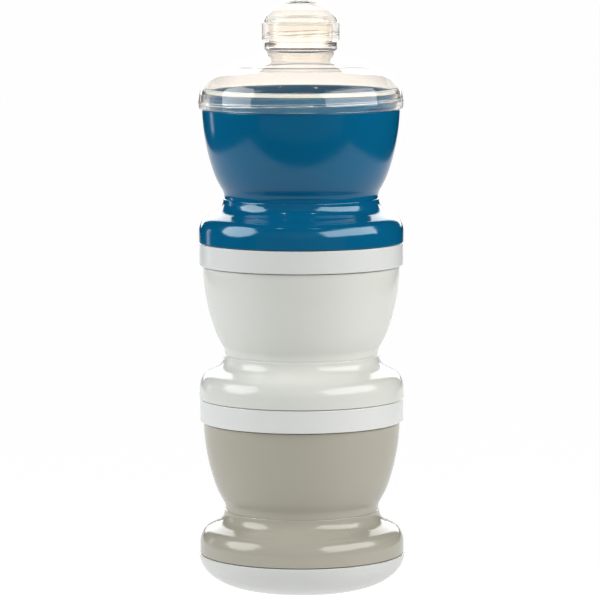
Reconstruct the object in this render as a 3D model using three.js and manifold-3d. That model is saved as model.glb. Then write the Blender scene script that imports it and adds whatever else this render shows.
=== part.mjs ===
// A stacking formula dispenser: three powder compartments stand on a base dish. White screw lids close
// the two lower compartments, and a clear funnel lid with a screw cap on its spout closes the top one.
// Millimetres, +Z up. The origin is the centre of the underside. Every piece is a body of revolution
// about Z, and the screwed pieces also carry a thread ridge.

import * as THREE from 'three';
import { mergeVertices } from 'three/addons/utils/BufferGeometryUtils.js';
import Module from 'manifold-3d';

const wasm = await Module();
wasm.setup();

// ---- Driving dimensions --------------------------------------------------------------------------

const SEGMENTS = 28; // facets round every piece
const BASE_HEIGHT = 13.5; // from the ground to the plane on which the lowest foot stands
const PITCH = 61.5; // height that each compartment adds to the stack
const TOUCH = 0.3; // gap left between two faces that touch
const SEAM = TOUCH / 2;

const FOOT_RADIUS = 40.2; // outside of the feet
const BASE_RADIUS = 40.5;
const BASE_FLAT = 20; // radius of the flat underside
const SKIRT_RADIUS = 40; // outside of the screw lids
const SKIRT_DEPTH = 9; // a lid's skirt hangs this far below its closing plane
const SKIRT_BORE = 38.7; // inside of a skirt, where its thread is
const SEAL_SEAT = 38.35; // inside of a skirt above the thread, where the seal sits
const SEAT_BOTTOM = -3.6; // the seal seat's lower end, from the lid's closing plane

const FOOT = {
  bore: 38.1, // inside of the foot's rim, which fits over a plug ring
  sideR: 31.8, // centre of the slightly round side
  sideZ: 4,
  side: 8.4,
  shoulderR: 34.75, // centre of the round shoulder above it
  shoulderZ: 5.73,
  shoulder: 5,
  filletR: 36.15, // centre of the hollow fillet between shoulder and collar
  filletZ: 16.79,
  fillet: 5.6,
  insideR: 33.9, // centre and radius of the round inner wall
  insideZ: 4.1,
  inside: 4.2,
  collarTop: 17.3,
  collarBore: 28.9, // the collar holds the bowl's lower end
  webHole: 26, // the bowl stands on a web with this hole in it
  webBottom: 9,
  webTop: 10.6,
};

const BOWL = {
  bottom: 11,
  floor: 12.6,
  spigot: 28.5, // radius of the lower end, inside the foot's collar
  step: 17.6, // where the wall steps out over the collar
  waist: [ // the wall's hollow foot, from the collar up to the swept arc
    [30.25, 17.6],
    [30.35, 19],
    [30.8, 20.4],
    [31.86, 22.3],
    [32.82, 24.2],
  ],
  sweepBottom: 26,
  sweep: 81, // radius of the arc that the wall follows in section
  sweepR: -42.3, // its centre
  sweepZ: 54,
  shoulder: PITCH - SKIRT_DEPTH - TOUCH, // top of the wall, just under the lid's skirt
  neck: 37.2, // threaded neck
  rim: 36.9, // plain rim above the thread, inside the seal
  rimBore: 35.6,
  rimTop: PITCH - 1.9,
  wall: 1.8,
};

const PLUG = { radius: 37.4, bore: 36, height: 4.4, chamfer: 0.4 }; // ring that a foot fits over
const PANEL = 1.2; // thickness of a screw lid's closing panel

const SEAL = { inner: 37.2, outer: 38, bottom: -3.3, top: -2.1 }; // heights from the closing plane
const SPOUT_SEAL = { inner: 11.3, outer: 13.4, bottom: 23.9, top: 24.6 };

const SPOUT = {
  flange: 14.1, // plain collar under the cap
  flangeTop: 17,
  neck: 12.6, // threaded neck inside the cap
  bore: 11.2,
  boreBottom: 17.4,
  top: 23.6,
  flareBore: 12.7, // inside, the bore widens in the collar
  flareTop: 15.2,
  flareBottom: 12.6,
  tubeBottom: 9, // the spout's tube also hangs into the lid
  tubeRadius: 12.3,
  tubeTop: 12.53, // where the tube meets the cone's inner face
};

const DOME = {
  centreR: 27.5, // centre and radius of the round shoulder's outer face
  centreZ: -5.5,
  radius: 12.3,
  inset: 1.95, // the inner face is the same arc moved in and down
  drop: 0.42,
  coneTop: 13.66, // where the cone meets the collar
  ledgeR: 37.1, // step above the seal seat
  ledge: -1.8,
  creaseR: 26.6, // small step between the inner shoulder and the inner cone
  creaseZ: 7.01,
  creaseStep: 0.36,
};

const CAP = {
  radius: 15.1,
  bore: 13.9,
  bottom: 17.5,
  seat: 24.9, // ledge that presses on the spout seal
  sideTop: 24.5, // where the straight side ends
  shoulderR: 7.1, // centre and radius of the dome's round shoulder
  shoulderZ: 22.5,
  shoulder: 8,
  crownZ: 16.5, // centre and radius of the ball-shaped top
  crown: 17.3,
  domeBase: 24.6, // inside, the dome is half an ellipse on this plane
  domeBore: 12.75,
  domeBoreHeight: 7.9,
};

// A thread's zero is the height of the neck's ridge where it crosses the +X side, from the closing plane.
const LID_THREAD = { lead: 4, zero: -7.23, rootWidth: 1.3, crestWidth: 0.7 };
const CAP_THREAD = { lead: 3, zero: 18.85, rootWidth: 1.2, crestWidth: 0.7 };
const BITE = 0.5; // how deep a ridge is sunk into the wall that it stands on
const RUN_OUT = 0.25; // share of its height that a ridge has left at its ends

// ---- Finishes ------------------------------------------------------------------------------------

const FINISHES = {
  blue: { color: 0x0d5580, roughness: 0.22, metalness: 0 },
  white: { color: 0xd9dad6, roughness: 0.3, metalness: 0 },
  taupe: { color: 0xaaa598, roughness: 0.26, metalness: 0 },
  lidWhite: { color: 0xe2e4e5, roughness: 0.35, metalness: 0 },
  clear: { color: 0xfbf6ef, roughness: 0.06, metalness: 0, transparent: true, opacity: 0.35 },
  silicone: { color: 0xf1ece2, roughness: 0.55, metalness: 0 },
};

// ---- Helpers -------------------------------------------------------------------------------------

const { degToRad, lerp } = THREE.MathUtils;

/** [radius, height] points along an elliptic arc, both ends included. Angles are in degrees. */
function arc(centreR, centreZ, radiusR, radiusZ, from, to, steps) {
  return Array.from({ length: steps + 1 }, (_, i) => {
    const angle = degToRad(lerp(from, to, i / steps));
    return [centreR + radiusR * Math.cos(angle), centreZ + radiusZ * Math.sin(angle)];
  });
}

/** The body of revolution whose section is outlined by the points, outwards along the bottom first. */
function turned(points) {
  const closed = points[0][0] > 0 ? [...points, points[0]] : points;
  const profile = closed.map(([radius, height]) => new THREE.Vector2(radius, height));
  return new THREE.LatheGeometry(profile, SEGMENTS).rotateX(Math.PI / 2);
}

/**
 * A right-handed helical ridge on a wall of radius root, rising to radius crest, moved up by raise. It
 * covers the facets from first to last, counted from +X.
 */
function ridge({ lead, zero, rootWidth, crestWidth }, root, crest, raise, first, last) {
  const sunk = root - Math.sign(crest - root) * BITE;
  const section = new THREE.Shape([
    new THREE.Vector2(sunk, -rootWidth / 2),
    new THREE.Vector2(crest, -crestWidth / 2),
    new THREE.Vector2(crest, crestWidth / 2),
    new THREE.Vector2(sunk, rootWidth / 2),
  ]);
  const steps = last - first;
  const geometry = new THREE.ExtrudeGeometry(section, { depth: 1, steps, bevelEnabled: false });
  const position = geometry.getAttribute('position');
  for (let i = 0; i < position.count; i++) {
    const along = position.getZ(i);
    const angle = (2 * Math.PI * lerp(last, first, along)) / SEGMENTS;
    const atEnd = along < 0.5 / steps || along > 1 - 0.5 / steps;
    const onCrest = Math.abs(position.getX(i) - crest) < Math.abs(position.getX(i) - sunk);
    const radius = atEnd && onCrest ? lerp(root, crest, RUN_OUT) : position.getX(i);
    const height = zero + raise + position.getY(i) + (lead * angle) / (2 * Math.PI);
    position.setXYZ(i, radius * Math.cos(angle), radius * Math.sin(angle), height);
  }
  return geometry;
}

/** A closed geometry as a solid that can be joined. Triangles flattened at the axis are left out. */
function solid(geometry) {
  const bare = geometry.clone();
  bare.deleteAttribute('normal');
  bare.deleteAttribute('uv');
  const merged = mergeVertices(bare);
  const index = Array.from(merged.index.array);
  const kept = [];
  for (let i = 0; i < index.length; i += 3) {
    const [a, b, c] = index.slice(i, i + 3);
    if (a !== b && b !== c && c !== a) kept.push(a, b, c);
  }
  const vertProperties = merged.getAttribute('position').array;
  const mesh = new wasm.Mesh({ numProp: 3, vertProperties, triVerts: new Uint32Array(kept) });
  return new wasm.Manifold(mesh);
}

/** Two closed geometries joined into one body. */
function joined(wall, addition) {
  const mesh = solid(wall).add(solid(addition)).getMesh();
  const geometry = new THREE.BufferGeometry();
  geometry.setAttribute('position', new THREE.BufferAttribute(mesh.vertProperties, 3));
  geometry.setIndex(new THREE.BufferAttribute(mesh.triVerts, 1));
  geometry.computeVertexNormals();
  return geometry;
}

/** A piece as a named mesh at a height in its group. */
function piece(name, geometry, finish, z = 0) {
  const mesh = new THREE.Mesh(geometry, new THREE.MeshStandardMaterial(FINISHES[finish]));
  mesh.name = name;
  mesh.position.z = z;
  return mesh;
}

// ---- Pieces of a compartment: heights from the plane under the foot --------------------------------

/** Outside radius of a bowl's wall at a height. */
function bowlRadius(z) {
  return BOWL.sweepR + Math.sqrt(BOWL.sweep ** 2 - (BOWL.sweepZ - z) ** 2);
}

/** Points up a bowl's wall from one height to another, moved in by a thickness. */
function bowlWall(from, to, thickness, steps) {
  return Array.from({ length: steps + 1 }, (_, i) => {
    const z = lerp(from, to, i / steps);
    return [bowlRadius(z) - thickness, z];
  });
}

/** The flared foot: a rim, a round shoulder, a collar round the bowl's end and a web under it. */
function foot() {
  const f = FOOT;
  return turned([
    [FOOT_RADIUS, SEAM],
    ...arc(f.sideR, f.sideZ, f.side, f.side, 0, 30, 2),
    ...arc(f.shoulderR, f.shoulderZ, f.shoulder, f.shoulder, 43, 69, 2),
    ...arc(f.filletR, f.filletZ, f.fillet, f.fillet, 249, 185, 3),
    [30.3, f.collarTop],
    [f.collarBore, f.collarTop],
    [f.collarBore, f.webTop],
    [f.webHole, f.webTop],
    [f.webHole, f.webBottom],
    [31, f.webBottom],
    ...arc(f.insideR, f.insideZ, f.inside, f.inside, 62, 0, 2),
    [f.bore, SEAM],
  ]);
}

/** The bowl that holds one portion of powder, with a thread round its neck. */
function bowl() {
  const b = BOWL;
  const rimBoreMeets = 39.5; // height where the straight bore meets the curved inner wall
  const wall = turned([
    [0, b.bottom],
    [b.spigot - 1.2, b.bottom],
    [b.spigot, b.bottom + 1.2],
    [b.spigot, b.step],
    ...b.waist,
    ...bowlWall(b.sweepBottom, b.shoulder, 0, 5),
    [b.neck, b.shoulder],
    [b.neck, PITCH + SEAT_BOTTOM],
    [b.rim, PITCH + SEAT_BOTTOM],
    [b.rim, b.rimTop - 0.3],
    [b.rim - 0.3, b.rimTop],
    [b.rimBore, b.rimTop],
    [b.rimBore, rimBoreMeets],
    ...bowlWall(20, rimBoreMeets - 8, b.wall, 2).reverse(),
    ...arc(22, 17.6, 5, 5, 0, -90, 2),
    [0, b.floor],
  ]);
  return joined(wall, ridge(LID_THREAD, b.neck, 38.2, PITCH, -4, 20));
}

// ---- Pieces that close a compartment: heights from its closing plane -------------------------------

/** The plug ring's outline, from its foot outside to its foot inside. */
function plugRing(foot, inside) {
  return [
    [PLUG.radius, foot],
    [PLUG.radius, PLUG.height - PLUG.chamfer],
    [PLUG.radius - PLUG.chamfer, PLUG.height],
    [PLUG.bore, PLUG.height],
    [PLUG.bore, inside],
  ];
}

/** The ridge inside a skirt, half a lead below the one on the bowl's neck. */
function skirtRidge() {
  return ridge(LID_THREAD, SKIRT_BORE, 37.6, -LID_THREAD.lead / 2, 8, 33);
}

/** A white screw lid: a panel with a threaded skirt below and a plug ring for the next foot above. */
function screwLid() {
  const underside = -SEAM - PANEL;
  const wall = turned([
    [0, underside],
    [SEAL_SEAT, underside],
    [SEAL_SEAT, SEAT_BOTTOM],
    [SKIRT_BORE, SEAT_BOTTOM],
    [SKIRT_BORE, -SKIRT_DEPTH],
    [SKIRT_RADIUS - 0.7, -SKIRT_DEPTH],
    [SKIRT_RADIUS, 0.7 - SKIRT_DEPTH],
    [SKIRT_RADIUS, -SEAM],
    ...plugRing(-SEAM, -SEAM),
    [0, -SEAM],
  ]);
  return joined(wall, skirtRidge());
}

/** A ring seal between a bowl's rim and the skirt round it, or under the spout's cap. */
function seal({ inner, outer, bottom, top }) {
  return turned([
    [inner, bottom],
    [outer, bottom],
    [outer, top],
    [inner, top],
  ]);
}

/** The clear lid: a threaded skirt, a domed funnel and a spout with a threaded neck. */
function funnelLid() {
  const s = SPOUT;
  const d = DOME;
  const wall = turned([
    [SKIRT_BORE, -SKIRT_DEPTH],
    [SKIRT_RADIUS - 0.1, -SKIRT_DEPTH],
    [SKIRT_RADIUS + 0.1, -6.5],
    ...arc(d.centreR, d.centreZ, d.radius, d.radius, 8, 68, 5),
    [s.flange, d.coneTop],
    [s.flange, s.flangeTop],
    [s.neck, s.flangeTop],
    [s.neck, s.top - 0.3],
    [s.neck - 0.3, s.top],
    [s.bore, s.top],
    [s.bore, s.boreBottom],
    [s.flareBore, s.flareTop],
    [s.flareBore - 0.2, s.flareBottom],
    [s.bore, s.tubeBottom],
    [s.tubeRadius, s.tubeBottom],
    [s.flange - 0.3, s.tubeTop],
    [d.creaseR, d.creaseZ],
    [d.creaseR + 0.3, d.creaseZ - d.creaseStep],
    ...arc(d.centreR - d.inset, d.centreZ - d.drop, d.radius, d.radius, 66, 26, 4),
    [d.ledgeR, d.ledge],
    [SEAL_SEAT, d.ledge],
    [SEAL_SEAT, SEAT_BOTTOM],
    [SKIRT_BORE, SEAT_BOTTOM],
  ]);
  const threaded = joined(wall, skirtRidge());
  return joined(threaded, ridge(CAP_THREAD, s.neck, 13.5, 0, 3, 24));
}

/** The clear cap that screws over the spout, with a domed top. */
function spoutCap() {
  const c = CAP;
  const wall = turned([
    [c.bore, c.bottom],
    [c.radius - 0.3, c.bottom],
    [c.radius, c.bottom + 0.3],
    [c.radius, c.sideTop],
    ...arc(c.shoulderR, c.shoulderZ, c.shoulder, c.shoulder, 16, 40, 1),
    ...arc(0, c.crownZ, c.crown, c.crown, 54, 80, 2),
    [0, c.crownZ + c.crown],
    [0, c.domeBase + c.domeBoreHeight],
    ...arc(0, c.domeBase, c.domeBore, c.domeBoreHeight, 76, 2.2, 3),
    [c.bore, c.seat],
    [c.bore, c.bottom],
  ]);
  return joined(wall, ridge(CAP_THREAD, c.bore, 13, -CAP_THREAD.lead / 2, 8, 35));
}

/** The dish that the stack stands on, with a plug ring inside the lowest foot. */
function baseDish() {
  const lip = BASE_HEIGHT - SEAM; // where the rounded side ends
  const wellLip = BASE_HEIGHT - 2.5; // the same inside
  const floor = 2.2;
  return turned([
    [0, 0],
    ...arc(BASE_FLAT, lip, BASE_RADIUS - BASE_FLAT, lip, -90, 0, 6),
    ...plugRing(-SEAM, 0).map(([radius, height]) => [radius, height + BASE_HEIGHT]),
    ...arc(BASE_FLAT, wellLip, PLUG.bore - BASE_FLAT, wellLip - floor, 0, -90, 4),
    [0, floor],
  ]);
}

// ---- The assembled dispenser -----------------------------------------------------------------------

const dispenser = new THREE.Group();
dispenser.add(piece('base', baseDish(), 'lidWhite'));

const COMPARTMENTS = [
  { name: 'lower', finish: 'taupe' },
  { name: 'middle', finish: 'white' },
  { name: 'upper', finish: 'blue' },
];

COMPARTMENTS.forEach(({ name, finish }, level) => {
  const compartment = new THREE.Group();
  compartment.position.z = BASE_HEIGHT + level * PITCH;
  compartment.add(piece(`${name}_foot`, foot(), finish));
  compartment.add(piece(`${name}_bowl`, bowl(), finish));
  if (name === 'upper') {
    compartment.add(piece('funnel_seal', seal(SEAL), 'silicone', PITCH));
    compartment.add(piece('funnel_lid', funnelLid(), 'clear', PITCH));
    compartment.add(piece('spout_seal', seal(SPOUT_SEAL), 'silicone', PITCH));
    compartment.add(piece('spout_cap', spoutCap(), 'clear', PITCH));
  } else {
    compartment.add(piece(`${name}_seal`, seal(SEAL), 'silicone', PITCH));
    compartment.add(piece(`${name}_lid`, screwLid(), 'lidWhite', PITCH));
  }
  dispenser.add(compartment);
});

export default dispenser;
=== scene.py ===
"""Looks of the stacking formula dispenser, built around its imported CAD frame.

Every piece is a moulding turned about the Z axis. Section outlines are in millimetres, as
(radius, height) from the plane that the piece belongs to: the plane under a compartment's foot, or
the closing plane of its lid. The planes themselves are read from the frame.
"""

import math

import bpy
import numpy as np
from mathutils import Euler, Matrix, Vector


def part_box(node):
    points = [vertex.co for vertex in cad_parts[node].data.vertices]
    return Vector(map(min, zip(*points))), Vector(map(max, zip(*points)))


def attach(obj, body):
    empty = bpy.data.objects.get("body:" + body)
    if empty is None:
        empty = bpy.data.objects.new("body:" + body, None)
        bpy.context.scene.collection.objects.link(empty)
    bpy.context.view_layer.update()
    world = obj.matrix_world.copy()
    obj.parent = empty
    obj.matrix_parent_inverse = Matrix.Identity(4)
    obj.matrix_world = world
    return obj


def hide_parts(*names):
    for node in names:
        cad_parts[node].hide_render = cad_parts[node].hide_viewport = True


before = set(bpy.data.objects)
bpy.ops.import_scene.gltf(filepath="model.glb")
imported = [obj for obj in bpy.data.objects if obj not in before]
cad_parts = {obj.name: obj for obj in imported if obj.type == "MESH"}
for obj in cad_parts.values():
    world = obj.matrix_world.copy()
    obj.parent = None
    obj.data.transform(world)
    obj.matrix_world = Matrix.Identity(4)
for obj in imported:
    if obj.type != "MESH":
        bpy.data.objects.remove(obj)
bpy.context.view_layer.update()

# ---- Driving dimensions, in millimetres ----------------------------------------------------------

MM = 0.001
SEAM = 0.15  # half of the gap between pieces that touch
LEVELS = ("lower", "middle", "upper")
PLANES = {level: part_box(f"{level}_foot")[0].z / MM - SEAM for level in LEVELS}
PITCH = PLANES["middle"] - PLANES["lower"]  # height of one level
BASE_HEIGHT = PLANES["lower"]
BASE_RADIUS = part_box("base")[1].x / MM

# A foot, and the lower end of the bowl that stands in it
FOOT_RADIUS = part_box("lower_foot")[1].x / MM
FOOT_BORE = 38.1  # fits over a plug ring
COLLAR_TOP = 17.3
COLLAR_BORE = 28.9
WEB_TOP = 10.6  # the web inside the foot that carries the bowl
WEB_BOTTOM = 9
WEB_HOLE = 26
SPIGOT = 28.5  # radius of the bowl's lower end, inside the collar
BOWL_BOTTOM = 11
BOWL_FLOOR = 12.6
BOWL_STEP = 17.33  # height where the bowl's wall steps out over the collar
WALL = 1.8

# A bowl's upper end, and the lid that screws on to it
NECK = 37.2  # radius of the threaded neck
RIM = 36.9
RIM_BORE = 35.6
RIM_TOP = PITCH - 1.9
SKIRT_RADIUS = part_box("lower_lid")[1].x / MM
SKIRT_DEPTH = 9.0
SKIRT_BORE = 38.7
SEAL_SEAT = 38.35  # radius of the groove above the thread that holds the seal
SEAT_BOTTOM = -3.6
PANEL = 1.2  # thickness of a lower lid's closing panel

# The ring on a lower lid or the base that a foot is pressed over
PLUG_RADIUS = 37.4
PLUG_BORE = 36.0
PLUG_HEIGHT = 4.4

# The clear lid's spout and its cap, at heights from that lid's closing plane
SPOUT_COLLAR = 14.1
SPOUT_NECK = 12.6
SPOUT_BORE = 11.2
SPOUT_TOP = 23.6
DOME_RADIUS = 12.3  # of the dome's rounded edge, in section
CAP_BORE = 13.9
CAP_SEAT = 24.9
CAP_BOTTOM = 17.5
CAP_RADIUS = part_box("spout_cap")[1].x / MM
CAP_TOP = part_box("spout_cap")[1].z / MM - PLANES["upper"] - PITCH

# Seals: inside radius, outside radius, bottom and top
LID_SEAL = (37.2, 38.0, -3.3, -2.1)
SPOUT_SEAL = (11.3, 13.4, 23.9, 24.6)

# Fineness of the meshes
SEGMENTS = 176  # facets round a large piece
SMALL_SEGMENTS = 128
FILLET_STEPS = 4
SUPPORT = 0.12  # an extra point this far beyond each fillet keeps flats looking flat
THREAD_STEP = 0.13  # height between rows where a thread is raised
THREAD_RUNOUT = 14  # degrees over which a thread's ends fade away
ON_WALL = 0.02  # a point this close to a thread's wall belongs to it
ON_AXIS = 1e-6

# ---- Section outlines ----------------------------------------------------------------------------


def arc(centre_r, centre_z, radius_r, radius_z, start, end, steps):
    """Points along an elliptic arc, both ends included, angles in degrees."""
    angles = np.radians(np.linspace(start, end, steps + 1))
    return [
        (centre_r + radius_r * math.cos(a), centre_z + radius_z * math.sin(a))
        for a in angles
    ]


def straight(radius, bottom, top, step=THREAD_STEP):
    """Points up or down a straight wall, close enough together to carry a thread."""
    count = max(2, round(abs(top - bottom) / step))
    return [(radius, z) for z in np.linspace(bottom, top, count + 1)]


def rounded(corners):
    """The outline through the corners. A third number in a corner rounds it with that radius."""
    points = []
    for i, corner in enumerate(corners):
        here = np.array(corner[:2], float)
        radius = corner[2] if len(corner) > 2 else 0
        if not radius:
            points.append(here)
            continue
        before = np.array(corners[i - 1][:2], float) - here
        after = np.array(corners[(i + 1) % len(corners)][:2], float) - here
        lengths = np.linalg.norm(before), np.linalg.norm(after)
        back, on = before / lengths[0], after / lengths[1]
        half = math.acos(np.clip(back @ on, -1, 1)) / 2
        reach = min(radius / math.tan(half), 0.45 * lengths[0], 0.45 * lengths[1])
        middle = here + (back + on) / np.linalg.norm(back + on) * reach / math.cos(half)
        first, last = here + back * reach - middle, here + on * reach - middle
        sweep = math.pi - 2 * half
        if lengths[0] > 2 * (reach + SUPPORT):
            points.append(here + back * (reach + SUPPORT))
        for k in range(FILLET_STEPS + 1):
            t = k / FILLET_STEPS
            mixed = math.sin((1 - t) * sweep) * first + math.sin(t * sweep) * last
            points.append(middle + mixed / math.sin(sweep))
        if lengths[1] > 2 * (reach + SUPPORT):
            points.append(here + on * (reach + SUPPORT))
    return np.array(points)


# ---- Turned meshes -------------------------------------------------------------------------------


class Thread:
    """A right-handed ridge on a wall: outwards if its height is positive, inwards if negative."""

    def __init__(self, wall, height, lead, zero, first, last, width=1.1, crest=0.5):
        self.wall, self.height, self.lead, self.zero = wall, height, lead, zero
        self.first, self.last = first, last  # degrees from +X where the ridge starts and ends
        self.width, self.crest = width, crest

    def raised(self, radius, z, angle):
        """How far each point is raised, for arrays of radius, height and angle in degrees."""
        amount = np.zeros(radius.shape)
        for turn in range(-1, 3):
            along = angle + 360 * turn
            centre = self.zero + self.lead * along / 360
            off = np.abs(z - centre)
            flank = (self.width - self.crest) / 2
            shape = 1 - smooth((off - self.crest / 2) / flank)
            start = smooth((along - self.first) / THREAD_RUNOUT)
            end = smooth((self.last - along) / THREAD_RUNOUT)
            amount = np.maximum(amount, shape * (start * end))
        return np.where(np.abs(radius - self.wall) < ON_WALL, amount * self.height, 0)


def smooth(t):
    """Smoothstep from 0 to 1."""
    t = np.clip(t, 0, 1)
    return t * t * (3 - 2 * t)


def link(thing):
    """Puts an object in the scene."""
    bpy.context.scene.collection.objects.link(thing)
    return thing


def turned(name, outline, plane, threads=(), segments=SEGMENTS):
    """A mesh object of the outline turned about Z, with its plane at a height in the frame.

    An outline that starts on the axis ends on it too. Any other one closes on itself.
    """
    profile = rounded(outline)
    closed = outline[0][0] > 0
    degrees = np.arange(segments) * 360 / segments
    on_axis = profile[:, 0] < ON_AXIS
    radius = np.repeat(profile[:, :1], segments, 1)
    height = np.repeat(profile[:, 1:], segments, 1)
    angle = np.repeat(degrees[None], len(profile), 0)
    moved = sum((t.raised(radius, height, angle) for t in threads), np.zeros(radius.shape))
    radius = radius + moved
    turn = np.radians(angle)
    verts, rows = [], []
    for i in range(len(profile)):
        if on_axis[i]:
            rows.append([len(verts)] * segments)
            verts.append((0, 0, (height[i, 0] + plane) * MM))
            continue
        rows.append(list(range(len(verts), len(verts) + segments)))
        xs, ys = radius[i] * np.cos(turn[i]), radius[i] * np.sin(turn[i])
        verts += [(x * MM, y * MM, (z + plane) * MM) for x, y, z in zip(xs, ys, height[i])]
    faces = []
    pairs = len(rows) if closed else len(rows) - 1
    for i in range(pairs):
        low, high = rows[i], rows[(i + 1) % len(rows)]
        for j in range(segments):
            k = (j + 1) % segments
            ring = (low[j], low[k], high[k], high[j])
            faces.append(tuple(dict.fromkeys(ring)))
    mesh = bpy.data.meshes.new(name)
    mesh.from_pydata(verts, [], faces)
    mesh.shade_smooth()
    mesh.validate()
    return link(bpy.data.objects.new(name, mesh))


# ---- Outlines of the pieces ----------------------------------------------------------------------


def bowl_radius(z):
    """Outside radius of a bowl's wall: a shallow arc in section."""
    return -42.3 + math.sqrt(81**2 - (54 - z) ** 2)


def bowl_wall(start, end, inwards, steps):
    """Points up or down a bowl's wall between two heights, moved in by a thickness."""
    return [(bowl_radius(z) - inwards, z) for z in np.linspace(start, end, steps + 1)]


def bowl_waist():
    """The wall's lower part, which draws in more and more towards the collar."""
    top, depth, drawn_in = 28, 7.6, 0.7
    return [
        (r - drawn_in * ((top - z) / depth) ** 2, z) for r, z in bowl_wall(21.5, 27.5, 0, 7)
    ]


def foot_outline():
    """A flared foot: side, round shoulder, hollow fillet, collar, web and round inner wall."""
    return [
        (FOOT_RADIUS, SEAM, 0.2),
        *arc(31.8, 4.0, 8.4, 8.4, 0, 30, 8),
        *arc(34.75, 5.73, 5.0, 5.0, 34, 69, 10),
        *arc(36.15, 16.79, 5.6, 5.6, 249, 185, 16),
        (30.5, COLLAR_TOP, 0.35),
        (COLLAR_BORE, COLLAR_TOP, 0.2),
        (COLLAR_BORE, WEB_TOP, 0.2),
        (WEB_HOLE, WEB_TOP, 0.4),
        (WEB_HOLE, WEB_BOTTOM, 0.4),
        (31, WEB_BOTTOM, 0.6),
        *arc(33.9, 4.1, 4.2, 4.2, 62, 0, 10),
        (FOOT_BORE, SEAM, 0.4),
    ]


def bowl_outline():
    """A bowl, from the gate mark under it, up its outside, and down its inside to its floor."""
    shoulder = PITCH - SKIRT_DEPTH - 0.3
    seat = PITCH + SEAT_BOTTOM
    gate_mark = BOWL_BOTTOM - 0.25
    return [
        (0, gate_mark),
        (1.2, gate_mark, 0.12),
        (1.5, BOWL_BOTTOM, 0.12),
        (SPIGOT - 1.2, BOWL_BOTTOM, 0.3),
        (SPIGOT, BOWL_BOTTOM + 1.2, 0.3),
        (SPIGOT, BOWL_STEP, 0.2),
        (30.17, BOWL_STEP, 0.05),
        *arc(35.67, 17.95, 5.5, 5.5, 180, 147, 8),
        *bowl_waist(),
        *bowl_wall(28, shoulder - 0.6, 0, 28),
        (bowl_radius(shoulder), shoulder, 0.4),
        (NECK, shoulder, 0.25),
        *straight(NECK, shoulder + 0.4, seat - 0.15),
        (NECK, seat, 0.1),
        (RIM, seat, 0.1),
        (RIM, RIM_TOP, 0.45),
        (RIM_BORE, RIM_TOP, 0.45),
        (RIM_BORE, 40.5),
        *bowl_wall(39.0, 20.2, WALL, 22),
        (28.6, 19.0),
        *arc(22.2, 18.0, 5.2, 5.4, 4, -90, 14),
        (0, BOWL_FLOOR),
    ]


def plug_ring(foot, inside):
    """The ring's outside, top and inside, from its foot outside to its foot inside."""
    return [
        (PLUG_RADIUS, foot, 0.25),
        (PLUG_RADIUS, PLUG_HEIGHT, 0.5),
        (PLUG_BORE, PLUG_HEIGHT, 0.5),
        (PLUG_BORE, inside, 0.35),
    ]


def screw_lid_outline():
    """A lower lid: closing panel, seal groove, threaded skirt, plug ring and gate mark."""
    underside = -SEAM - PANEL
    gate_mark = -SEAM - 0.25
    return [
        (0, underside),
        (SEAL_SEAT, underside, 0.15),
        (SEAL_SEAT, SEAT_BOTTOM, 0.1),
        (SKIRT_BORE, SEAT_BOTTOM, 0.1),
        *straight(SKIRT_BORE, SEAT_BOTTOM - 0.2, 0.25 - SKIRT_DEPTH),
        (SKIRT_BORE, -SKIRT_DEPTH, 0.15),
        (SKIRT_RADIUS, -SKIRT_DEPTH, 0.7),
        (SKIRT_RADIUS, -SEAM, 0.3),
        *plug_ring(-SEAM, -SEAM),
        (5, -SEAM, 0.3),
        (4.4, gate_mark, 0.2),
        (0, gate_mark),
    ]


def seal_outline(inner, outer, bottom, top):
    """A ring of rectangular section with soft edges."""
    soft = 0.2
    return [(inner, bottom, soft), (outer, bottom, soft), (outer, top, soft), (inner, top, soft)]


def funnel_lid_outline():
    """The clear lid: threaded skirt, dome, collar, spout, and the tube that hangs inside it.

    Its inner face repeats the outer one a little further in, so that the wall bends little light.
    """
    collar_top, tube_bottom, ledge = 17, 9, -1.8
    return [
        (SKIRT_BORE, -SKIRT_DEPTH, 0.2),
        (SKIRT_RADIUS - 0.1, -SKIRT_DEPTH, 0.4),
        (SKIRT_RADIUS + 0.12, -6.6, 0.6),
        *arc(27.5, -5.5, DOME_RADIUS, DOME_RADIUS, 8, 67, 24),
        (SPOUT_COLLAR, 13.66, 0.4),
        (SPOUT_COLLAR, collar_top, 0.3),
        (SPOUT_NECK, collar_top, 0.25),
        *straight(SPOUT_NECK, collar_top + 0.4, SPOUT_TOP - 0.7),
        (SPOUT_NECK, SPOUT_TOP, 0.35),
        (SPOUT_BORE, SPOUT_TOP, 0.35),
        (SPOUT_BORE, collar_top + 0.4, 1.0),
        (12.7, 15.2, 1.0),
        (12.5, 12.6, 1.5),
        (SPOUT_BORE, tube_bottom, 0.4),
        (12.3, tube_bottom, 0.6),
        (13.8, 12.53, 0.5),
        (26.6, 7.01, 0.1),
        (26.9, 6.65, 0.1),
        *arc(25.55, -5.92, DOME_RADIUS, DOME_RADIUS, 67, 20, 20),
        (37.05, ledge, 0.1),
        (SEAL_SEAT, ledge, 0.15),
        (SEAL_SEAT, SEAT_BOTTOM, 0.1),
        (SKIRT_BORE, SEAT_BOTTOM, 0.1),
        *straight(SKIRT_BORE, SEAT_BOTTOM - 0.2, 0.3 - SKIRT_DEPTH),
    ]


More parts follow.
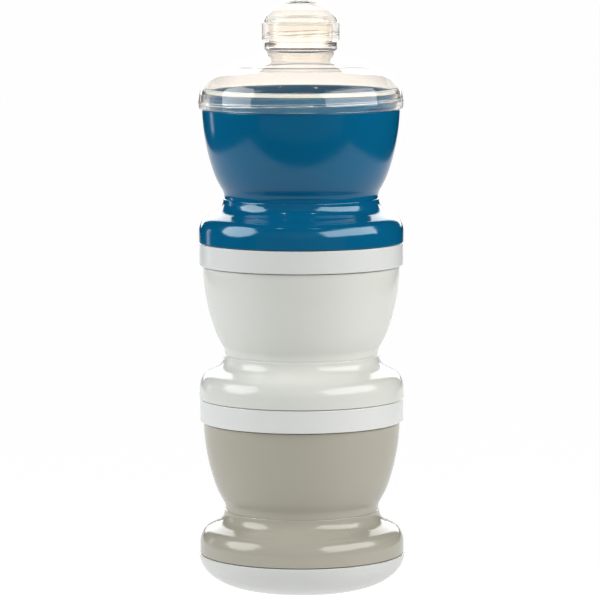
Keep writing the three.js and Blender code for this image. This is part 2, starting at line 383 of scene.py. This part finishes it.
def spout_cap_outline():
    """The clear cap: threaded skirt, domed crown with a gate mark, and the hollow under it."""
    crown = 17.3  # radius of the crown in section
    gate_mark = CAP_TOP - 0.15
    hollow_base, hollow_radius, hollow_height = 24.6, 12.75, 7.9
    return [
        (CAP_BORE, CAP_BOTTOM, 0.2),
        (CAP_RADIUS, CAP_BOTTOM, 0.35),
        (CAP_RADIUS, 24.5, 0.25),
        *arc(7.1, CAP_TOP - 11.3, 8, 8, 16, 40, 10),
        *arc(0, CAP_TOP - crown, crown, crown, 42, 86, 22),
        (1.3, CAP_TOP - 0.05, 0.05),
        (1.1, gate_mark, 0.05),
        (0, gate_mark),
        (0, hollow_base + hollow_height),
        *arc(0, hollow_base, hollow_radius, hollow_height, 85, 5, 22),
        (hollow_radius, CAP_SEAT, 0.15),
        (CAP_BORE, CAP_SEAT, 0.2),
        *straight(CAP_BORE, CAP_SEAT - 0.4, CAP_BOTTOM + 0.5),
    ]


def base_outline():
    """The base dish: a standing ring and gate mark below, a round side, a plug ring and a well."""
    lip = BASE_HEIGHT - SEAM
    well = BASE_HEIGHT - 2.5  # height where the well's side starts to curve in
    floor = 2.2
    flat = 20  # radius within which the underside and the well are flat
    recess, gate_mark = 0.6, 0.35
    ring = [(c[0], c[1] + BASE_HEIGHT, c[2]) for c in plug_ring(-SEAM, 0.4)]
    return [
        (0, gate_mark),
        (2.0, gate_mark, 0.15),
        (2.3, recess, 0.15),
        (16.5, recess, 0.3),
        (17.4, 0, 0.3),
        *arc(flat, lip, BASE_RADIUS - flat, lip, -90, -3, 34),
        (BASE_RADIUS, lip, 0.3),
        *ring,
        *arc(flat, well, PLUG_BORE - flat, well - floor, -4, -90, 22),
        (0, floor),
    ]


LID_LEAD = 4.0  # height climbed in one turn
CAP_LEAD = 3.0
LID_ZERO = -7.23  # height of the ridge where it crosses the X axis
CAP_ZERO = 18.85
BOWL_THREAD = Thread(NECK, 1.0, LID_LEAD, LID_ZERO + PITCH, -52, 258)
SKIRT_THREAD = Thread(SKIRT_BORE, -1.1, LID_LEAD, LID_ZERO - LID_LEAD / 2, 103, 424)
SPOUT_THREAD = Thread(SPOUT_NECK, 0.9, CAP_LEAD, CAP_ZERO, 38, 309, 1.0, 0.45)
CAP_THREAD = Thread(CAP_BORE, -0.9, CAP_LEAD, CAP_ZERO - CAP_LEAD / 2, 102, 450, 1.0, 0.45)

# ---- Materials -----------------------------------------------------------------------------------


class Nodes:
    """A small helper to build one material's node tree around its Principled shader."""

    def __init__(self, name):
        self.material = bpy.data.materials.new(name)
        self.material.use_nodes = True
        self.tree = self.material.node_tree
        self.shader = self.tree.nodes["Principled BSDF"]
        self.place = self.add("ShaderNodeTexCoord").outputs["Object"]

    def add(self, kind, **settings):
        node = self.tree.nodes.new(kind)
        for key, value in settings.items():
            setattr(node, key, value)
        return node

    def link(self, source, target):
        self.tree.links.new(source, target)

    def noise(self, scale, detail=2.0, stretch=(1, 1, 1)):
        """Noise over the object's own space, scale in features a metre."""
        mapping = self.add("ShaderNodeMapping")
        mapping.inputs["Scale"].default_value = stretch
        self.link(self.place, mapping.inputs["Vector"])
        texture = self.add("ShaderNodeTexNoise")
        texture.inputs["Scale"].default_value = scale
        texture.inputs["Detail"].default_value = detail
        self.link(mapping.outputs["Vector"], texture.inputs["Vector"])
        return texture.outputs["Fac"]

    def between(self, value, low, high):
        """A noise value spread over a range. Most of the noise lies between 0.3 and 0.7."""
        spread = self.add("ShaderNodeMapRange")
        spread.inputs["From Min"].default_value = 0.3
        spread.inputs["From Max"].default_value = 0.7
        spread.inputs["To Min"].default_value = low
        spread.inputs["To Max"].default_value = high
        self.link(value, spread.inputs["Value"])
        return spread.outputs["Result"]

    def mixed(self, factor, first, second):
        """A blend from the first colour to the second."""
        mix = self.add("ShaderNodeMix", data_type="RGBA")
        self.link(factor, mix.inputs["Factor"])
        mix.inputs["A"].default_value = (*first, 1)
        mix.inputs["B"].default_value = (*second, 1)
        return mix.outputs["Result"]

    def bump(self, layers):
        """Bumps stacked from (height, distance in mm, strength)."""
        normal = None
        for height, distance, strength in layers:
            node = self.add("ShaderNodeBump")
            node.inputs["Distance"].default_value = distance * MM
            node.inputs["Strength"].default_value = strength
            self.link(height, node.inputs["Height"])
            if normal:
                self.link(normal, node.inputs["Normal"])
            normal = node.outputs["Normal"]
        self.link(normal, self.shader.inputs["Normal"])

    def set(self, **values):
        """Sets constants on the shader, each named as its socket with underscores."""
        for key, value in values.items():
            self.shader.inputs[key.replace("_", " ")].default_value = value


def moulded_plastic(name, colour, deeper, roughness, gloss, subsurface, gloss_tint=(1, 1, 1)):
    """Glossy moulded polypropylene: faint orange peel, flow streaks and uneven gloss."""
    n = Nodes(name)
    streaks = n.noise(420, 3, stretch=(1, 1, 0.06))
    clouds = n.noise(28, 3)
    n.link(n.mixed(n.between(clouds, 0, 1), colour, deeper), n.shader.inputs["Base Color"])
    smears = n.noise(90, 4)
    n.link(n.between(smears, *roughness), n.shader.inputs["Roughness"])
    peel = n.noise(260, 2)
    grain = n.noise(5200, 2)
    n.bump([(peel, 0.012, 0.35), (streaks, 0.01, 0.3), (grain, 0.002, 0.25)])
    n.set(IOR=1.46, Specular_IOR_Level=gloss, Specular_Tint=(*gloss_tint, 1))
    n.set(Subsurface_Weight=subsurface, Subsurface_Scale=0.002)
    n.set(Subsurface_Radius=(1.0, 0.9, 0.8))
    return n.material


def clear_plastic(name):
    """Polished clear moulding, with the faintest warm cast and waviness."""
    n = Nodes(name)
    tint = n.mixed(n.between(n.noise(30, 2), 0, 1), (1.0, 0.962, 0.915), (1.0, 0.955, 0.903))
    n.link(tint, n.shader.inputs["Base Color"])
    n.link(n.between(n.noise(70, 3), 0.01, 0.05), n.shader.inputs["Roughness"])
    n.bump([(n.noise(45, 1), 0.03, 0.25), (n.noise(300, 2), 0.004, 0.3)])
    n.set(IOR=1.35, Transmission_Weight=1.0)
    n.set(Sheen_Weight=0.36, Sheen_Roughness=0.5, Sheen_Tint=(1, 1, 1, 1))
    return n.material


def silicone(name):
    """Soft translucent cream ring."""
    n = Nodes(name)
    tone = n.mixed(n.between(n.noise(120, 2), 0, 1), (0.9, 0.88, 0.84), (0.87, 0.85, 0.8))
    n.link(tone, n.shader.inputs["Base Color"])
    n.link(n.between(n.noise(500, 3), 0.42, 0.6), n.shader.inputs["Roughness"])
    n.bump([(n.noise(2500, 2), 0.01, 0.4)])
    n.set(IOR=1.41, Subsurface_Weight=0.4, Subsurface_Scale=0.002)
    return n.material


MATERIALS = {
    "blue_plastic": moulded_plastic(
        "blue moulded plastic",
        (0.002, 0.12, 0.256),
        (0.002, 0.115, 0.246),
        roughness=(0.1, 0.17),
        gloss=0.5,
        subsurface=0.0,
        gloss_tint=(0.82, 1, 1),
    ),
    "white_plastic": moulded_plastic(
        "white moulded plastic",
        (0.76, 0.77, 0.72),
        (0.745, 0.755, 0.705),
        roughness=(0.12, 0.2),
        gloss=0.3,
        subsurface=0.1,
    ),
    "taupe_plastic": moulded_plastic(
        "taupe moulded plastic",
        (0.44, 0.42, 0.35),
        (0.43, 0.41, 0.34),
        roughness=(0.12, 0.2),
        gloss=0.35,
        subsurface=0.05,
    ),
    "lid_plastic": moulded_plastic(
        "lid moulded plastic",
        (0.79, 0.803, 0.782),
        (0.784, 0.797, 0.776),
        roughness=(0.22, 0.27),
        gloss=0.4,
        subsurface=0.1,
    ),
    # The base's finish is the lid plastic with its colour darkened to about 85 per cent as painted
    # shade, for the shade that falls on the base low down by the table.
    "lid_plastic_painted_shade": moulded_plastic(
        "lid moulded plastic with painted shade",
        (0.67, 0.68, 0.66),
        (0.66, 0.67, 0.65),
        roughness=(0.22, 0.27),
        gloss=0.4,
        subsurface=0.1,
    ),
    "clear_plastic": clear_plastic("clear moulded plastic"),
    "silicone": silicone("cream silicone"),
}
FINISHES = {"lower": "taupe_plastic", "middle": "white_plastic", "upper": "blue_plastic"}

# ---- The pieces ----------------------------------------------------------------------------------


def finish_piece(piece, node, body, slot, finish=None):
    """Puts a moulding in place of its CAD node, on its body and with its finish."""
    piece.data.materials.append(MATERIALS[finish or slot])
    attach(piece, body)
    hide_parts(node)


def add_compartment(level):
    """A foot and the bowl in it, in their level's colour."""
    plane = PLANES[level]
    body = f"{level}_compartment"
    foot = turned(f"{level}_foot_moulding", foot_outline(), plane)
    finish_piece(foot, f"{level}_foot", body, FINISHES[level])
    bowl = turned(f"{level}_bowl_moulding", bowl_outline(), plane, [BOWL_THREAD])
    finish_piece(bowl, f"{level}_bowl", body, FINISHES[level])


def add_closure(level):
    """The lid over a level and its seal: a clear funnel on the top level, a panel below."""
    plane = PLANES[level] + PITCH
    top = level == "upper"
    name = "funnel" if top else level
    outline = funnel_lid_outline() if top else screw_lid_outline()
    threads = [SKIRT_THREAD, SPOUT_THREAD] if top else [SKIRT_THREAD]
    lid = turned(f"{name}_lid_moulding", outline, plane, threads)
    finish_piece(lid, f"{name}_lid", f"{name}_lid", "clear_plastic" if top else "lid_plastic")
    ring = turned(f"{name}_seal_ring", seal_outline(*LID_SEAL), plane)
    finish_piece(ring, f"{name}_seal", f"{name}_seal", "silicone")


def add_spout_closure():
    """The spout's seal and cap."""
    plane = PLANES["upper"] + PITCH
    outline = seal_outline(*SPOUT_SEAL)
    ring = turned("spout_seal_ring", outline, plane, segments=SMALL_SEGMENTS)
    finish_piece(ring, "spout_seal", "spout_seal", "silicone")
    cap = turned("spout_cap_moulding", spout_cap_outline(), plane, [CAP_THREAD], SMALL_SEGMENTS)
    finish_piece(cap, "spout_cap", "spout_cap", "clear_plastic")


dish = turned("base_moulding", base_outline(), 0)
# The base is moulded in the lid plastic; its finish darkens that colour as painted shade.
finish_piece(dish, "base", "base", "lid_plastic", "lid_plastic_painted_shade")
for level in LEVELS:
    add_compartment(level)
    add_closure(level)
add_spout_closure()

# ---- Stage, lights and camera --------------------------------------------------------------------


def show_to(thing, *rays):
    """Lets only these kinds of ray see a light or a board."""
    for ray in ("camera", "diffuse", "glossy", "transmission"):
        setattr(thing, f"visible_{ray}", ray in rays)


def stage_board(name, corners, radiance, *rays):
    """A flat lit board, matt and faintly mottled, that only these kinds of ray see."""
    mesh = bpy.data.meshes.new(name)
    mesh.from_pydata([tuple(c) for c in corners], [], [tuple(range(len(corners)))])
    board = link(bpy.data.objects.new(name, mesh))
    n = Nodes(name)
    mottled = n.mixed(n.between(n.noise(3, 2), 0, 1), (0.2, 0.2, 0.2), (0.19, 0.19, 0.19))
    n.link(mottled, n.shader.inputs["Base Color"])
    n.set(Roughness=0.8, Specular_IOR_Level=0.0)
    n.set(Emission_Color=(1, 1, 1, 1), Emission_Strength=radiance)
    n.material.cycles.emission_sampling = "NONE"
    board.data.materials.append(n.material)
    show_to(board, *rays)
    return board


def level_corners(xs, ys, z):
    """A level rectangle at one height."""
    return [(xs[0], ys[0], z), (xs[1], ys[0], z), (xs[1], ys[1], z), (xs[0], ys[1], z)]


def upright_corners(start, end, bottom, top):
    """An upright rectangle over the line between two points of the plan."""
    return [(*start, bottom), (*end, bottom), (*end, top), (*start, top)]


def stage():
    """A pale floor without a horizon, and what the pieces reflect: a lit table in a dark room.

    Light that comes through the clear pieces has a floor and a backdrop of its own.
    """
    far = 60.0  # in metres, as are all the places here
    left, right, front, back = -0.55, 0.46, -0.27, 2.2  # the table's edges
    under_floor = -0.0005  # keeps the table clear of the floor that the camera sees
    everywhere = level_corners((-far, far), (-far, far), 0)
    stage_board("pale_floor", everywhere, 0.99, "camera")
    stage_board("floor_seen_through", everywhere, 1.12, "transmission")
    backdrop = upright_corners((-far, 20), (far, 20), 0, far)
    stage_board("backdrop_seen_through", backdrop, 1.4, "transmission")
    for name, end, radiance, ray in (
        ("table_sheen", 12, 0.75, "glossy"),
        ("table_bounce", back, 0.85, "diffuse"),
    ):
        table = level_corners((left, right), (front, end), under_floor)
        stage_board(name, table, radiance, ray).visible_shadow = False
    wall = upright_corners((-1.0, back), (1.0, back), 0.2, 2.2)
    stage_board("back_wall", wall, 3.5, "glossy")
    room = upright_corners((-3.0, -2.5), (3.0, -2.5), -0.8, 2.4)
    stage_board("dim_room", room, 0.15, "glossy")
    strip = upright_corners((-0.76, 0.5), (-0.7, 0.6), 0.03, 0.3)
    stage_board("left_strip", strip, 1.6, "glossy").visible_shadow = False


AIM = Vector((0, 0, 0.12))  # what every light faces
SOFTBOX_DISTANCE = 0.75
SOFTBOX_WINDOW = 8.4  # radiance of a softbox's window
SOFTBOX_FILL_SIZE = (0.58, 0.5)


def facing(direction, distance):
    """Where a light in a direction from the object stands, and its turn towards the object."""
    way = Vector(direction).normalized()
    return AIM + way * distance, (-way).to_track_quat("-Z", "Y")


def area_light(name, direction, distance, size, radiance, colour=(1, 1, 1)):
    """A rectangular light that faces the object, as bright as its radiance says."""
    data = bpy.data.lights.new(name, "AREA")
    data.shape = "RECTANGLE"
    data.size, data.size_y = size
    data.energy = radiance * math.pi * size[0] * size[1]
    data.color = colour
    light = link(bpy.data.objects.new(name, data))
    light.location, turn = facing(direction, distance)
    light.rotation_euler = turn.to_euler()
    return light


def softbox(name, direction, size, fill, colour, sides):
    """A softbox: its bright window as reflections see it, and its softer light on matt surfaces."""
    place, turn = facing(direction, SOFTBOX_DISTANCE)
    rim = []
    for i in range(sides):
        angle = math.tau * (i + 0.5) / sides
        reach = math.sqrt(0.5) if sides == 4 else 0.5  # a square's corners reach out further
        across, up = size[0] * reach * math.cos(angle), size[1] * reach * math.sin(angle)
        rim.append(place + turn @ Vector((across, up, 0)))
    stage_board(f"{name}_window", rim, SOFTBOX_WINDOW, "glossy").visible_shadow = False
    spread = area_light(
        f"{name}_fill", direction, SOFTBOX_DISTANCE, SOFTBOX_FILL_SIZE, fill, colour
    )
    show_to(spread, "diffuse", "transmission")


def studio():
    """The stage, two softboxes, a front fill, two small lamps for sparkle, and a pale world."""
    stage()
    cool, warm = (0.98, 1.0, 1.02), (1.0, 0.995, 0.985)
    softbox("left", (-0.888, -0.171, 0.427), (0.62, 0.6), 4.35, cool, sides=8)
    softbox("right", (0.77, -0.42, 0.48), (0.95, 0.4), 4.8, warm, sides=4)
    front = area_light("front_fill", (0, -0.94, 0.34), 1.2, (0.6, 0.6), 2.75)
    show_to(front, "diffuse", "transmission")
    lamp_height, lamp_distance, lamp_size, lamp_radiance = 58, 1.1, (0.045, 0.045), 45
    for name, azimuth in (("left_lamp", -35.5), ("right_lamp", 23.5)):
        turn, lift = math.radians(azimuth), math.radians(lamp_height)
        across, up = math.cos(lift), math.sin(lift)
        way = (math.sin(turn) * across, -math.cos(turn) * across, up)
        show_to(area_light(name, way, lamp_distance, lamp_size, lamp_radiance), "glossy")
    world = bpy.data.worlds.new("studio_world")
    world.use_nodes = True
    background = world.node_tree.nodes["Background"]
    background.inputs["Color"].default_value = (1, 1, 1, 1)
    background.inputs["Strength"].default_value = 0.98
    world.cycles_visibility.diffuse = world.cycles_visibility.glossy = False
    bpy.context.scene.world = world


def camera():
    """A long lens a little above the middle of the stack, looking along +Y and slightly down."""
    lens, sensor = 216, 36  # in millimetres
    distance, depression, roll = 1.416, math.radians(6.12), math.radians(0.15)
    target = (-0.00016, 0, 0.1135)
    data = bpy.data.cameras.new("camera")
    data.lens, data.sensor_width = lens, sensor
    data.clip_end = 50
    view = bpy.data.objects.new("camera", data)
    view.location = (
        target[0],
        target[1] - distance * math.cos(depression),
        target[2] + distance * math.sin(depression),
    )
    tilt = math.pi / 2 - depression
    view.rotation_euler = Euler((tilt, roll * math.sin(tilt), 0), "XYZ")
    link(view)
    bpy.context.scene.camera = view


studio()
camera()
bpy.context.scene.view_settings.view_transform = "Standard"
